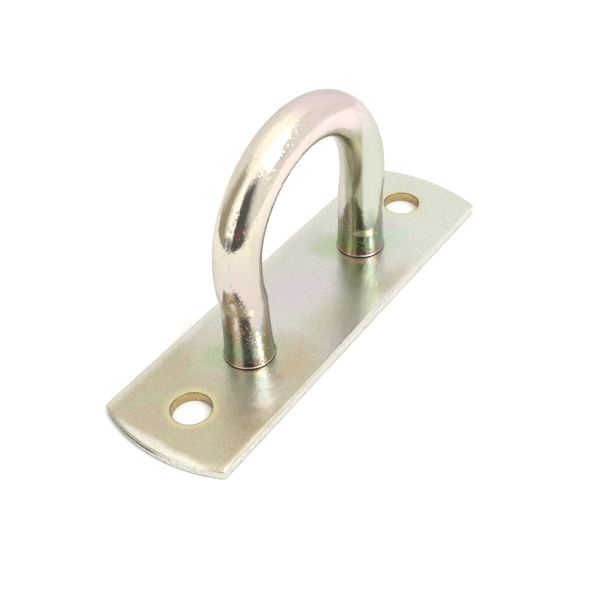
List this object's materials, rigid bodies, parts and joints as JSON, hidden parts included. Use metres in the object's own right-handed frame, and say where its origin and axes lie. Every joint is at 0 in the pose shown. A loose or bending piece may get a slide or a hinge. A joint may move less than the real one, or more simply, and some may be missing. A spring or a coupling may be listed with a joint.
{
  "type": "pad eye",
  "caption": "Pad eye: a bent round-bar bow fixed upright on a flat screw-down plate, used as an anchor point for a hook, shackle or lashing.",
  "frame": {"origin": "centre of the base plate's back face, on the surface that the plate is screwed to", "axes": "+X along the plate through both screw holes, +Y across the plate, +Z away from the mounting surface, up through the bow"},
  "size_m": [0.09, 0.0264, 0.0437],
  "materials": {
    "zinc_plate": "zinc plated strip steel, yellow chromate with faint green and pink iridescence, satin",
    "zinc_bar": "zinc plated drawn bar, yellow chromate with pink and olive iridescence, semi-gloss",
    "foot_ring": "zinc plated upset metal, pinkish chromate",
    "back_weld": "plug weld ground flush and zinc plated, dull"
  },
  "bodies": {
    "root": {"base_plate": "zinc_plate", "bow": "zinc_bar", "foot_ring_left": "foot_ring", "foot_ring_right": "foot_ring", "back_weld_left": "back_weld", "back_weld_right": "back_weld"}
  },
  "joints": []
}
